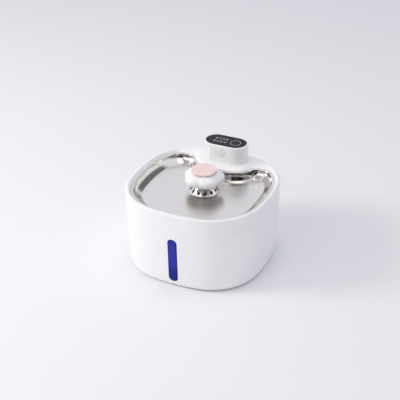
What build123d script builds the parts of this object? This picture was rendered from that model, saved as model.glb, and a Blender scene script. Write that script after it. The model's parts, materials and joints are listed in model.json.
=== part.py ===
from build123d import *
import math
import os

# Cordless pet water fountain: a round-cornered tank with a lit level window, a lift-off
# top cover that carries a steel drinking tray, a flower spout on a riser tube, a pump and
# filter inside, and a battery module that hangs in the rear deck.
# Millimetres. +Z is up, the origin is on the floor under the middle of the tank, and the
# front, with the level window, faces -Y.

# ---------------------------------------------------------------- driving dimensions

# Plan of the housing: a square with crowned sides and large corners
half_width = 95.0
crown_radius = 230.0
corner_radius = 71.0
base_inset = 4.0            # the walls lean in this much at the foot
wall = 2.4

# Heights
foot_height = 1.5           # rubber feet below the tank
tank_floor = 2.5            # thickness of the tank's floor
seam_height = 87.0          # tank rim, where the top cover sits
cover_height = 20.5         # top cover, from seam to deck
tower_height = 24.5         # control tower above the deck
bottom_round = 5.0
seam_chamfer = 0.5
deck_round = 2.6

# Level window
window_width = 15.0
window_bottom = 6.5
window_top = 72.5
window_corner = 5.0
window_lip = 1.8            # inner flange past the opening
seal_thickness = 0.8

# Feet
foot_radius = 8.0
foot_pocket = 0.8
foot_chamfer = 0.4
foot_inset = 36.0           # foot centres, in from the side of the housing
fit_gap = 0.1               # pieces that seat in one another
free_gap = 0.3              # pieces that lift out of one another

# Drinking tray
steel = 0.8
lip_inset = 7.5             # tray edge, in from the outer wall
lip_drop = 3.2              # tray edge, below the deck
rear_margin = 25.5          # tray edge, in from the rear of the housing
ledge_width = 2.6
ledge_thickness = 2.0
tray_depth = 10.8
tray_wall_run = 8.8         # from the bowl's top to the edge of its flat floor
rear_share = 0.8            # of that run, where the wall is steeper at the rear
skirt_share = 0.35          # and round the tower
tray_cove = 5.0
lobe_radius = 12.0          # tray corners beside the tower
heel_radius = 17.0          # tray corners at the outside rear
skirt_reach = 12.0          # tray edge, in front of the tower
slope_run = 4.0             # white slope round the tray
slope_run_rear = 7.0
boss_base_radius = 20.0     # raised collar under the flower
boss_top_radius = 13.0
boss_height = 7.5
overflow_holes = 12
overflow_radius = 1.7

# Control module
tower_setback = 20.5        # tower centre, in from the rear of the housing
tower_radius = 17.5
tower_straight = 27.0
tower_wall = 3.5
tower_round = 1.0
tower_chamfer = 0.3
shoulder = 3.5              # ledge that carries the module on the deck
module_wall = 2.0
panel_recess = 2.0
panel_thickness = 1.7
panel_bezel = 2.0
panel_round = 0.3
base_thickness = 3.0
base_plug = 4.5
base_round = 1.5
seal_bead = 0.6
cell_radius = 9.2
cell_length = 65.0
cell_chamfer = 0.8
cell_gap = 0.15
cell_slack = 0.4            # above the cells
frame_gap = 0.4             # battery frame to the module's wall
frame_floor = 1.5
frame_roof = 1.1
frame_seat = 0.5            # frame above the base's plug
frame_band = 8.0            # solid bands at the frame's ends, beside its side windows
frame_window = 3.5          # side windows, past the straight part of the module
board_drop = 8.0            # circuit board, below the panel
board_thickness = 1.6
board_margin = 1.0
screw_radius = 1.0
screw_head_radius = 2.0
screw_head = 1.4
screw_sink = 0.2
screw_grip = 6.0
screw_post_radius = 2.6
screw_reach = 7.5           # screws, past the straight part of the module
slot_length = 3.0
slot_width = 0.6
lens_radius = 6.0
lens_drop = 10.5            # lens centre below the tower top
lens_recess = 0.2
lens_rise = 0.7
lens_flange = 0.8
lens_sight_radius = 4.5     # clear hole behind the lens
lens_spigot = 0.6
can_radius = 3.9

# Lamps, light guide and touch spring between board and panel
mark_count = 4
mark_step = 6.0
mark_shift = 1.0            # first mark, past the straight part of the tower
mark_row = 3.8              # two rows of marks, off the middle line
lamp_width = 1.8
lamp_depth = 1.6
lamp_height = 0.8
guide_well_width = 4.0
guide_well_depth = 4.8
guide_wall = 1.0
spring_wire = 0.4
spring_radius = 4.0
spring_turns = 3
spring_shift = 1.5          # touch mark, past the straight part of the tower

# Charging port and its rubber flap
port_width = 8.9
port_height = 3.2
port_depth = 7.0
port_wall = 0.35
port_blade = 0.7
flap_width = 14.0
flap_height = 8.6
flap_corner = 2.0
flap_round = 0.6
flap_thickness = 1.8
flap_pocket = 1.2
flap_tongue = 1.2

# Flower spout
spout_y = 2.0
petal_count = 5
petal_radius = 15.0
petal_offset = 10.7
petal_rise = 9.3
petal_edge = 5.0
petal_skirt = 2.5
petal_wall = 2.0
petal_turn = 44.0           # direction of the first petal, from the front
flower_lift = 6.5           # petal widest point above the deck's tray edge
centre_lobe_radius = 9.6
centre_lobe_offset = 6.8
centre_thickness = 2.0
centre_gap = 0.5
centre_round = 0.8
stem_length = 7.0
stem_radius = 1.5
stem_fins = 3
fin_thickness = 1.2
press = 0.02
web_thickness = 1.6
neck_radius = 9.0
neck_flange_radius = 12.0
neck_flange = 1.5
riser_radius = 6.0
riser_wall = 1.3

# Filter
stand_floor = 56.0
stand_height = 24.0
stand_wall = 2.0
module_gap = 8.0            # filter stand to module
leg_radius = 3.4
leg_circle = 44.0
socket_wall = 1.6
socket_height = 3.0
filter_height = 15.0
spoke_count = 8
spoke_width = 2.4
pad_gap = 1.0               # pad below the case's rim
pad_round = 1.5
hub_gap = 1.2
hub_drop = 6.0              # hub's top, below the stand's rim
slot_count = 16
drain_width = 2.6
drain_margin = 2.0

# Pump
pump_base = 9.0
pump_width = 38.0
pump_height = 26.0
pump_motor = 26.0           # motor block, behind the volute
pump_round = 4.0
pump_rear_round = 2.0
axis_offset = 9.0           # impeller axis beside the outlet
axis_height = 12.0          # impeller axis above the pump's base
volute_radius = 11.0
volute_depth = 10.0
impeller_radius = 9.0
impeller_depth = 7.0
impeller_disc = 1.2
impeller_play = 1.5         # impeller to the pump's cover
blade_count = 6
blade_thickness = 1.1
blade_sweep = 0.55          # radians that a blade leans back
blade_root = 0.4            # blade's bite into the hub
hub_radius = 3.4
hub_lap = 4.0               # hub's reach behind the volute, where the magnet starts
magnet_radius = 6.4
magnet_length = 16.0
rotor_well = 7.2
well_play = 2.0             # rotor well past the magnet
shaft_radius = 1.2
shaft_clearance = 0.05
bush_wall = 1.0
bush_depth = 1.5            # front bush in the cover
bush_reach = 1.0            # front bush into the volute
bush_length = 3.0
bush_gap = 0.5              # past the rotor well
outlet_radius = 4.3
outlet_wall = 2.2
outlet_height = 11.0
outlet_socket = 8.0
cover_thickness = 3.0
intake_step = 2.6
intake_slots = 2            # slots on each side of the shaft
intake_width = 1.5
intake_height = 11.8
sponge_depth = 10.0
light_radius = 3.0
light_seat = 1.5
light_rise = 2.0
cup_radius = 5.5
cup_lip = 0.5
lead_radius = 1.4
lead_height = 4.0           # lead's exit above the pump's base
gland_length = 3.0          # in the pump's wall, and again outside it
plug_radius = 4.0
plug_length = 10.0
plug_round = 1.2
pin_radius = 2.4
pin_length = 5.0
socket_radius = 3.6
socket_play = 1.0           # past the pin's end
socket_roof = 1.5

# ---------------------------------------------------------------- shared places

deck_height = seam_height + cover_height
tower_top = deck_height + tower_height
tower_y = half_width - tower_setback
module_radius = tower_radius - shoulder
panel_height = tower_top - panel_recess
board_height = panel_height - board_drop
cell_bottom = board_height - frame_roof - cell_slack - cell_length
frame_bottom = cell_bottom - frame_floor
module_floor = frame_bottom - frame_seat - base_plug
module_bottom = module_floor - base_thickness
floor_top = foot_height + tank_floor
lip_height = deck_height - lip_drop
ledge_height = lip_height - steel
tray_floor = lip_height - tray_depth
boss_top = tray_floor + boss_height
petal_centre = lip_height + flower_lift
cell_pitch = cell_radius + 0.2
tube_bore = riser_radius - riser_wall
pump_x = -axis_offset
pump_top = pump_base + pump_height
shaft_height = pump_base + axis_height
volute_front = spout_y - volute_depth / 2
motor_front = volute_front + volute_depth
pump_rear = motor_front + pump_motor
pump_left = pump_x + axis_offset / 4 - pump_width / 2
pump_right = pump_left + pump_width
magnet_front = motor_front + hub_lap
magnet_rear = motor_front + magnet_length
well_end = magnet_rear + well_play
bush_front = well_end + bush_gap
shaft_end = bush_front + bush_length
lead_z = pump_base + lead_height
port_z = board_height + board_thickness + port_height / 2
outlet_top = pump_top + outlet_height
stand_radius = tower_y - module_radius - module_gap - spout_y


# ---------------------------------------------------------------- shared shapes

def turned(point, quarter):
    # a plan point carried round by quarter turns
    x, y = point
    for _ in range(quarter):
        x, y = -y, x
    return (x, y)


def plan(inset):
    # the housing's outline, inset from the outer wall: four crowned sides, four corners
    side = crown_radius - inset
    corner = corner_radius - inset
    back = crown_radius - half_width
    centre = (math.sqrt(2 * (side - corner) ** 2 - back ** 2) - back) / 2
    angle = math.atan2(centre, centre + back)
    meet = (side * math.cos(angle) - back, side * math.sin(angle))
    bend = centre + corner * math.sqrt(0.5)
    edges = []
    for quarter in range(4):
        start = turned((meet[0], -meet[1]), quarter)
        middle = turned((side - back, 0), quarter)
        end = turned(meet, quarter)
        after = turned((meet[1], meet[0]), quarter)
        edges.append(ThreePointArc(start, middle, end))
        edges.append(ThreePointArc(end, turned((bend, bend), quarter), after))
    return make_face(edges)


def lean(height):
    # how far the tank's wall leans in at a height
    return base_inset * (seam_height - height) / (seam_height - foot_height)


def tank_form(depth, low, high):
    # the tank's outer form, moved in by a depth, between two heights
    sections = [
        Pos(0, 0, low) * plan(lean(low) + depth),
        Pos(0, 0, high) * plan(lean(high) + depth),
    ]
    return loft(sections, ruled=True)


def obround(radius):
    # the tower's outline at a given end radius
    return Pos(0, tower_y) * SlotCenterToCenter(tower_straight, 2 * radius)


def basin(side, rear, skirt, lobe, heel):
    # the tray's outline: the housing's plan, cut off at the rear and round the tower
    rear_line = half_width - rear
    behind = Pos(0, rear_line + half_width) * Rectangle(4 * half_width, 2 * half_width)
    face = plan(side) - behind - obround(tower_radius + skirt)
    corners = rear_corners(face, rear_line)
    stretch = abs(corners[2].X) - abs(corners[0].X)
    face = fillet(corners[:2], min(lobe, 0.55 * stretch))
    corners = rear_corners(face, rear_line)
    return fillet(corners[-2:], min(heel, 0.95 * stretch))


def rear_corners(face, rear_line):
    # corners on the rear line, those beside the tower first
    corners = [v for v in face.vertices() if abs(v.Y - rear_line) < 0.01]
    return sorted(corners, key=lambda v: abs(v.X))


def tray_outline(inset, run=0.0):
    # the tray's outline, moved in all round, and further in by the run of the bowl's wall
    lobe = lobe_radius * lip_inset / (lip_inset + 0.6 * (inset + run))
    heel = heel_radius * lip_inset / (lip_inset + 0.3 * (inset + run))
    rear = rear_margin + inset + rear_share * run
    skirt = skirt_reach + inset + skirt_share * run
    return basin(lip_inset + inset + run, rear, skirt, lobe, heel)


def prism(face, low, high):
    return extrude(Pos(0, 0, low) * face, amount=high - low)


def spindle(radius, low, high, x=0.0, y=0.0):
    # an upright cylinder between two heights
    return Pos(x, y, (low + high) / 2) * Cylinder(radius, high - low)


def sleeve(outer, inner, low, high, x=0.0, y=0.0):
    return spindle(outer, low, high, x, y) - spindle(inner, low - 1, high + 1, x, y)


def rod_y(radius, front, rear, x, z):
    # a cylinder along Y
    return Pos(x, (front + rear) / 2, z) * Rot(90, 0, 0) * Cylinder(radius, rear - front)


def block(x0, x1, y0, y1, z0, z1):
    return Pos((x0 + x1) / 2, (y0 + y1) / 2, (z0 + z1) / 2) * Box(x1 - x0, y1 - y0, z1 - z0)


def window_prism(growth):
    # the level window's opening through the front wall, grown all round
    width = window_width + 2 * growth
    height = window_top - window_bottom + 2 * growth
    middle = (window_top + window_bottom) / 2
    face = RectangleRounded(width, height, window_corner + growth)
    return extrude(Plane.XZ.offset(half_width / 2) * Pos(0, middle) * face, amount=half_width)


# ---------------------------------------------------------------- tank

def foot_places():
    reach = half_width - foot_inset
    return [(x, y) for x in (-reach, reach) for y in (-reach, reach)]


def leg_places():
    step = leg_circle * math.sqrt(0.5)
    return [(x, spout_y + y) for x in (-step, step) for y in (-step, step)]


def tank_shell():
    shell = tank_form(0, foot_height, seam_height)
    shell = fillet(shell.edges().group_by(Axis.Z)[0], bottom_round)
    shell = chamfer(shell.edges().group_by(Axis.Z)[-1], seam_chamfer)
    shell -= tank_form(wall, floor_top, seam_height)
    shell -= window_prism(0)
    for x, y in foot_places():
        shell -= spindle(foot_radius + fit_gap, foot_height, foot_height + foot_pocket, x, y)
    for x, y in leg_places():
        bore = leg_radius + fit_gap
        shell += sleeve(bore + socket_wall, bore, floor_top, floor_top + socket_height, x, y)
    return shell


def level_window():
    low = floor_top
    high = window_top + 2 * window_lip
    band = tank_form(free_gap, low, high) - tank_form(wall + seal_thickness, low, high)
    flange = tank_form(wall + seal_thickness, low, high)
    flange -= tank_form(2 * wall + seal_thickness, low, high)
    return (band & window_prism(-fit_gap)) + (flange & window_prism(window_lip))


def window_seal():
    low = floor_top
    high = window_top + 2 * window_lip
    band = tank_form(wall, low, high) - tank_form(wall + seal_thickness, low, high)
    return (band & window_prism(window_lip)) - window_prism(0)


def rubber_feet():
    feet = []
    for x, y in foot_places():
        foot = spindle(foot_radius, 0, foot_height + foot_pocket, x, y)
        feet.append(chamfer(foot.edges().group_by(Axis.Z)[0], foot_chamfer))
    return Compound(children=feet)


# ---------------------------------------------------------------- top cover

def cover_opening():
    # the white slope that leads down to the tray's edge
    flat = basin(
        lip_inset - slope_run, rear_margin - slope_run_rear, skirt_reach - slope_run_rear,
        lobe_radius, heel_radius,
    )
    slope = loft([Pos(0, 0, lip_height) * tray_outline(0), Pos(0, 0, deck_height) * flat], ruled=True)
    return slope + prism(tray_outline(0), ledge_height, lip_height)


def top_cover():
    cover = prism(plan(0), seam_height, deck_height)
    cover = fillet(cover.edges().group_by(Axis.Z)[-1], deck_round)
    cover = chamfer(cover.edges().group_by(Axis.Z)[0], seam_chamfer)
    cover -= cover_opening()
    cover -= prism(tray_outline(ledge_width), seam_height, ledge_height)
    # hollow underside between the outer wall and the tray's surround
    hollow = plan(wall) - tray_outline(ledge_width - ledge_thickness)
    collar = obround(module_radius + free_gap + wall)
    cover -= prism(hollow - collar, seam_height, ledge_height - ledge_thickness)
    # deeper pocket under the rear deck
    deck_pocket = plan(wall) - basin(
        lip_inset - 2 * wall, rear_margin - slope_run_rear - wall,
        skirt_reach - slope_run_rear - wall, lobe_radius, heel_radius,
    )
    rear_half = Pos(0, tower_y) * Rectangle(2 * half_width, 2 * tower_radius)
    deck_pocket = (deck_pocket & rear_half) - collar
    cover -= prism(deck_pocket, seam_height, deck_height - wall)
    cover -= prism(obround(module_radius + free_gap), seam_height, deck_height)
    # register that drops inside the tank's rim
    inset = wall + free_gap + lean(seam_height - 2 * wall)
    register = plan(inset) - plan(inset + wall)
    cover += prism(register, seam_height - 2 * wall, seam_height)
    shelf = plan(0.5 * wall) - plan(inset + wall)
    cover += prism(shelf, seam_height + seam_chamfer, seam_height + wall)
    return cover


# ---------------------------------------------------------------- drinking tray

def tray_bowl(top, growth):
    # the dished form; growth is the metal's thickness for the outside
    inset = ledge_width + free_gap + steel - growth
    sections = [
        Pos(0, 0, tray_floor - growth) * tray_outline(inset, tray_wall_run),
        Pos(0, 0, top) * tray_outline(inset),
    ]
    bowl = loft(sections, ruled=True)
    rim = bowl.edges().group_by(Axis.Z)[0]
    tightest = min(edge.radius for edge in rim.filter_by(GeomType.CIRCLE))
    return fillet(rim, min(tray_cove + growth, 0.95 * tightest))


def boss_cone(growth):
    low = tray_floor - steel
    cone = Cone(boss_base_radius - growth, boss_top_radius - growth, boss_height + steel - growth)
    return Pos(0, spout_y, low + (boss_height + steel - growth) / 2) * cone


def drinking_tray():
    tray = prism(tray_outline(free_gap), ledge_height, lip_height)
    tray += tray_bowl(ledge_height, steel)
    tray -= tray_bowl(lip_height, 0)
    tray += boss_cone(0)
    tray -= boss_cone(steel)
    tray -= spindle(neck_radius + free_gap, tray_floor, boss_top + 1, 0, spout_y)
    middle = tray_floor + boss_height / 2
    reach = (boss_base_radius + boss_top_radius) / 2
    for index in range(overflow_holes):
        hole = Rot(0, 90, 0) * Cylinder(overflow_radius, 4 * steel + 2 * overflow_radius)
        tray -= Pos(0, spout_y, middle) * Rot(0, 0, index * 360 / overflow_holes) * Pos(reach, 0, 0) * hole
    return tray


# ---------------------------------------------------------------- flower spout

def petal_profile(depth):
    # half section of one petal: a shallow dome that turns into a tight edge
    edge = petal_edge - depth
    rise = petal_rise - depth
    reach = petal_radius - petal_edge
    dome = (reach ** 2 + rise ** 2 - edge ** 2) / (2 * (rise - edge))
    tilt = math.atan2(reach, dome - rise)
    tip = (edge * math.sin(tilt) + reach, edge * math.cos(tilt))
    crown = (dome * math.sin(tilt / 2), rise - dome + dome * math.cos(tilt / 2))
    low = -2 * petal_edge
    arc = ThreePointArc((0, rise), crown, tip) + ThreePointArc(tip, (reach + edge, 0), (reach, -edge))
    return make_face(arc + Polyline((reach, -edge), (reach, low), (0, low), (0, rise)))


def petals(depth):
    # five overlapping domes, open below; depth moves the surface inwards
    dome = revolve(Plane.XZ * petal_profile(depth), Axis.Z)
    places = [Rot(0, 0, petal_angle(index)) * Pos(0, -petal_offset, 0) for index in range(petal_count)]
    flower = Pos(0, spout_y, petal_centre)
    return flower * (places[0] * dome).fuse(*[place * dome for place in places[1:]])


def petal_angle(index):
    return petal_turn + index * 360 / petal_count


def flower_cap():
    foot = petal_centre - petal_skirt
    top = petal_centre + petal_rise
    below = spindle(3 * petal_radius, foot - 2 * petal_rise, foot, 0, spout_y)
    outer = petals(0) - below
    cap = outer - petals(petal_wall)
    # five webs carry the petals from the neck
    for index in range(petal_count):
        web = block(-web_thickness / 2, web_thickness / 2, -petal_offset - petal_radius / 2, 0, foot, top)
        cap += (Pos(0, spout_y, 0) * Rot(0, 0, petal_angle(index)) * web) & outer
    cap += spindle(neck_radius, tray_floor, top - petal_wall, 0, spout_y)
    cap += spindle(neck_flange_radius, boss_top, boss_top + neck_flange, 0, spout_y)
    return cap - spindle(riser_radius, tray_floor - 1, top + 1, 0, spout_y)


def centre_plate():
    face = None
    for index in range(petal_count):
        lobe = Rot(0, 0, petal_angle(index)) * Pos(0, -centre_lobe_offset) * Circle(centre_lobe_radius)
        face = lobe if face is None else face + lobe
    return Pos(0, spout_y) * face


def flower_centre():
    low = petal_centre + petal_rise + centre_gap
    plate = prism(centre_plate(), low, low + centre_thickness)
    plate = fillet(plate.edges().group_by(Axis.Z)[-1], centre_round)
    # a finned stem presses into the neck above the riser tube
    stem = spindle(stem_radius, low - stem_length, low, 0, spout_y)
    for index in range(stem_fins):
        fin = block(-fin_thickness / 2, fin_thickness / 2, 0, riser_radius, low - stem_length, low)
        stem += Pos(0, spout_y, 0) * Rot(0, 0, index * 360 / stem_fins) * fin
    reach = spindle(riser_radius - press, low - stem_length, low, 0, spout_y)
    return plate + (stem & reach)


def riser_tube():
    top = petal_centre + petal_rise + centre_gap - stem_length - fit_gap
    return sleeve(riser_radius, tube_bore, outlet_top - outlet_socket + free_gap, top, 0, spout_y)


# ---------------------------------------------------------------- filter

def hub_bore():
    return riser_radius + hub_gap


def filter_stand():
    low = stand_floor
    high = stand_floor + stand_height
    hub = hub_bore() + stand_wall
    stand = spindle(stand_radius, low, high, 0, spout_y)
    stand -= spindle(stand_radius - stand_wall, low + stand_wall, high, 0, spout_y)
    stand += spindle(hub, low, high - hub_drop, 0, spout_y)
    # radial drain slots in the floor
    inner = hub + stand_wall
    outer = leg_circle - leg_radius - stand_wall
    for index in range(slot_count):
        slot = Box(outer - inner - 2 * drain_margin, drain_width, 3 * stand_wall)
        slot = Pos((inner + outer) / 2 + drain_margin, 0, 0) * slot
        stand -= Pos(0, spout_y, low) * Rot(0, 0, (index + 0.5) * 360 / slot_count) * slot
    for x, y in leg_places():
        stand += spindle(leg_radius, floor_top, low + stand_wall, x, y)
    return stand - spindle(hub_bore(), low - 1, high, 0, spout_y)


def filter_case():
    # grid-floored ring that holds the replaceable pad
    low = stand_floor + stand_wall
    outer = stand_radius - stand_wall - free_gap
    inner = hub_bore() + stand_wall + free_gap
    case = spindle(outer, low, low + filter_height, 0, spout_y)
    case -= spindle(outer - stand_wall, low + stand_wall, low + filter_height, 0, spout_y)
    case += spindle(inner + stand_wall, low, low + filter_height, 0, spout_y)
    window_inner = inner + 2 * stand_wall
    window_outer = outer - 2 * stand_wall
    ring = sleeve(window_outer, window_inner, low - 1, low + stand_wall, 0, spout_y)
    for index in range(spoke_count // 2):
        bar = Box(2 * outer, spoke_width, 4 * stand_wall)
        ring -= Pos(0, spout_y, low) * Rot(0, 0, index * 360 / spoke_count) * bar
    return case - ring - spindle(inner, low - 1, low + filter_height + 1, 0, spout_y)


def filter_media():
    low = stand_floor + 2 * stand_wall
    outer = stand_radius - 2 * stand_wall - 2 * free_gap
    inner = hub_bore() + 2 * stand_wall + 2 * free_gap
    pad = sleeve(outer, inner, low, low + filter_height - stand_wall - pad_gap, 0, spout_y)
    return fillet(pad.edges().group_by(Axis.Z)[-1], pad_round)


# ---------------------------------------------------------------- pump

def pump_housing():
    body = block(pump_left, pump_right, volute_front, pump_rear, pump_base, pump_top)
    body = fillet(body.edges().filter_by(Axis.Y), pump_round)
    body = fillet(body.edges().group_by(Axis.Y)[-1], pump_rear_round)
    body += spindle(outlet_radius + outlet_wall, shaft_height, outlet_top, 0, spout_y)
    body -= block(pump_left, pump_right, volute_front - pump_width, volute_front, pump_base, pump_top)
    socket = riser_radius + free_gap
    body += spindle(socket + outlet_wall, outlet_top - outlet_socket - outlet_wall, outlet_top, 0, spout_y)
    # volute, rotor well, seat of the rear bush and outlet, from front to rear
    body -= rod_y(volute_radius, volute_front - 1, motor_front, pump_x, shaft_height)
    body -= rod_y(rotor_well, motor_front - 1, well_end, pump_x, shaft_height)
    body -= rod_y(shaft_radius + bush_wall, motor_front, shaft_end + bush_gap, pump_x, shaft_height)
    body -= spindle(outlet_radius, shaft_height, outlet_top + 1, 0, spout_y)
    body -= spindle(socket, outlet_top - outlet_socket, outlet_top + 1, 0, spout_y)
    # seats for the light and the lead
    body -= spindle(light_radius, pump_top - light_seat, pump_top + 1, *light_place())
    body -= rod_y(2 * lead_radius, pump_rear - gland_length, pump_rear + 1, pump_x, lead_z)
    return body


def light_place():
    return pump_left + 3 * light_radius, volute_front + 2 * light_radius


def pump_light():
    x, y = light_place()
    lens = spindle(light_radius, pump_top - light_seat, pump_top + light_rise, x, y)
    return fillet(lens.edges().group_by(Axis.Z)[-1], light_radius / 2)


def pump_cover():
    front = volute_front - cover_thickness
    cover = block(pump_left, pump_right, front, volute_front, pump_base, pump_top)
    cover = fillet(cover.edges().filter_by(Axis.Y), pump_round)
    # intake slots on both sides of the shaft
    for index in range(1, intake_slots + 1):
        for side in (-1, 1):
            slot = Box(intake_width, 3 * cover_thickness, intake_height / index)
            cover -= Pos(pump_x + side * index * intake_step, front, shaft_height) * slot
    # dry socket that holds the shaft's front bush
    socket = shaft_radius + bush_wall
    return cover - rod_y(socket, volute_front - bush_depth, volute_front + 1, pump_x, shaft_height)


def blade_outline():
    # one curved blade in its own plane, from inside the hub to the rim
    inner = hub_radius - blade_root
    mid = (inner + impeller_radius) / 2
    start = Vector(inner, 0)
    middle = Vector(mid, 0).rotate(Axis.Z, math.degrees(blade_sweep / 2))
    end = Vector(impeller_radius, 0).rotate(Axis.Z, math.degrees(blade_sweep))
    thick = end.normalized().rotate(Axis.Z, 90) * blade_thickness
    near = ThreePointArc(start, middle, end)
    far = ThreePointArc(start + thick, middle + thick, end + thick)
    return make_face(near + Line(near @ 1, far @ 1) + far + Line(far @ 0, near @ 0))


def impeller():
    front = volute_front + impeller_play
    rear = front + impeller_depth
    wheel = rod_y(hub_radius, front, magnet_front, pump_x, shaft_height)
    wheel += rod_y(impeller_radius, rear - impeller_disc, rear, pump_x, shaft_height)
    blade = extrude(blade_outline(), amount=impeller_depth)
    reach = rod_y(impeller_radius, front, rear, pump_x, shaft_height)
    for index in range(blade_count):
        place = Pos(pump_x, front, shaft_height) * Rot(-90, 0, 0) * Rot(0, 0, index * 360 / blade_count)
        wheel += (place * blade) & reach
    return wheel - rod_y(shaft_radius + shaft_clearance, front - 1, magnet_front + 1, pump_x, shaft_height)


def rotor_magnet():
    magnet = rod_y(magnet_radius, magnet_front, magnet_rear, pump_x, shaft_height)
    bore = shaft_radius + shaft_clearance
    return magnet - rod_y(bore, magnet_front - 1, magnet_rear + 1, pump_x, shaft_height)


def rotor_shaft():
    return rod_y(shaft_radius, volute_front - bush_depth, shaft_end, pump_x, shaft_height)


def shaft_bushes():
    outer = shaft_radius + bush_wall - fit_gap
    front = rod_y(outer, volute_front - bush_depth, volute_front + bush_reach, pump_x, shaft_height)
    rear = rod_y(outer, bush_front, shaft_end, pump_x, shaft_height)
    bore = rod_y(shaft_radius, volute_front - bush_length, shaft_end + bush_length, pump_x, shaft_height)
    return Compound(children=[front - bore, rear - bore])


def intake_sponge():
    rear = volute_front - cover_thickness
    sponge = block(pump_left, pump_right, rear - sponge_depth, rear, pump_base, pump_top)
    return fillet(sponge.edges().filter_by(Axis.Y), pump_round)


def suction_cups():
    height = pump_base - floor_top
    neck = 0.4 * cup_radius
    outline = Polyline(
        (0, 0), (cup_radius, 0), (cup_radius, cup_lip), (neck, 0.6 * height), (neck, height), (0, height),
        close=True,
    )
    cup = revolve(Plane.XZ * make_face(outline), Axis.Z)
    side = 1.3 * cup_radius
    places = [
        (x, y)
        for x in (pump_left + side, pump_right - side)
        for y in (volute_front + cup_radius, pump_rear - cup_radius)
    ]
    return Compound(children=[Pos(x, y, floor_top) * cup for x, y in places])


# ---------------------------------------------------------------- lead from pump to module

def lead_points():
    plug_foot = module_bottom - plug_length
    bend_y = (pump_rear + tower_y) / 2 + gland_length
    return [
        (pump_x, pump_rear + gland_length, lead_z),
        (pump_x, bend_y, lead_z),
        (pump_x, tower_y, plug_foot - plug_length),
        (pump_x, tower_y, plug_foot),
    ]


def lead_bends(points):
    radii = []
    for before, at, after in zip(points, points[1:], points[2:]):
        run_in = Vector(*at) - Vector(*before)
        run_out = Vector(*after) - Vector(*at)
        half_turn = math.radians(run_in.get_angle(run_out)) / 2
        radii.append(0.45 * min(run_in.length, run_out.length) / math.tan(half_turn))
    return radii


def pump_lead():
    points = lead_points()
    radii = lead_bends(points)
    print("lead bend radii", [round(r, 1) for r in radii])
    path = FilletPolyline(*points, radius=radii)
    start = Plane(origin=points[0], z_dir=path % 0)
    tube = sweep(start * Circle(lead_radius), path=path)
    print("lead volume", round(tube.volume, 1), round(path.length * math.pi * lead_radius ** 2, 1))
    return tube


def lead_gland():
    gland = rod_y(2 * lead_radius - fit_gap, pump_rear - gland_length, pump_rear, pump_x, lead_z)
    return gland + rod_y(1.6 * lead_radius, pump_rear, pump_rear + gland_length, pump_x, lead_z)


def lead_plug():
    foot = module_bottom - plug_length
    body = spindle(plug_radius, foot, module_bottom - fit_gap, pump_x, tower_y)
    body = fillet(body.edges().group_by(Axis.Z)[0], plug_round)
    return body + spindle(pin_radius, foot + plug_round, module_bottom + pin_length, pump_x, tower_y)


# ---------------------------------------------------------------- control module

def module_shell():
    shell = prism(obround(tower_radius), deck_height, tower_top)
    shell = fillet(shell.edges().group_by(Axis.Z)[-1], tower_round)
    shell = chamfer(shell.edges().group_by(Axis.Z)[0], tower_chamfer)
    shell += prism(obround(module_radius), module_floor, deck_height)
    shell -= prism(obround(module_radius - module_wall), module_floor, deck_height + module_wall)
    shell -= prism(obround(tower_radius - tower_wall), deck_height + module_wall, panel_height)
    shell -= prism(obround(tower_radius - panel_bezel), panel_height, tower_top)
    # sensor's dimple and hole in the front face
    front = tower_y - tower_radius
    z = tower_top - lens_drop
    shell -= rod_y(lens_radius + fit_gap, front - 1, front + 1, 0, z)
    shell -= rod_y(lens_sight_radius, front - 1, front + tower_wall + 1, 0, z)
    # pocket for the rubber flap and the port's opening in the rear face
    rear = tower_y + tower_radius
    shell -= flap_blank(flap_pocket + 1, rear + 1, free_gap)
    opening = RectangleRounded(port_width + 2 * fit_gap, port_height + 2 * fit_gap, port_height / 2)
    shell -= extrude(Plane.XZ.offset(-rear - 1) * Pos(0, port_z) * opening, amount=2 * tower_wall)
    return shell


def flap_blank(depth, rear, growth):
    # rounded plate against the tower's rear face, between two distances along Y
    face = RectangleRounded(flap_width + 2 * growth, flap_height + 2 * growth, flap_corner + growth)
    return extrude(Plane.XZ.offset(-rear) * Pos(0, port_z) * face, amount=depth)


def port_flap():
    rear = tower_y + tower_radius
    floor = rear - flap_pocket + fit_gap
    plate = flap_blank(flap_thickness, floor + flap_thickness, 0)
    plate = fillet(plate.edges().group_by(Axis.Y)[-1], flap_round)
    # short tongue that plugs the port; it swings out without touching the port's roof
    width = port_width - 2 * port_wall - 2 * free_gap
    height = port_height - 2 * port_wall - 4 * free_gap
    tongue = RectangleRounded(width, height, 0.49 * height)
    plate += extrude(Plane.XZ.offset(-floor) * Pos(0, port_z - free_gap / 2) * tongue, amount=flap_tongue)
    return plate


def usb_port():
    rear = tower_y + tower_radius - flap_pocket - fit_gap
    outer = RectangleRounded(port_width, port_height, 0.49 * port_height)
    mouth = port_height - 2 * port_wall
    inner = RectangleRounded(port_width - 2 * port_wall, mouth, 0.45 * mouth)
    shell = extrude(Plane.XZ.offset(-rear) * Pos(0, port_z) * outer, amount=port_depth)
    shell -= extrude(Plane.XZ.offset(-rear) * Pos(0, port_z) * inner, amount=port_depth - 2 * port_wall)
    blade = block(
        -port_width / 3, port_width / 3, rear - port_depth + port_wall, rear - 2 * flap_tongue,
        port_z - port_blade / 2, port_z + port_blade / 2,
    )
    return shell + blade


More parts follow.
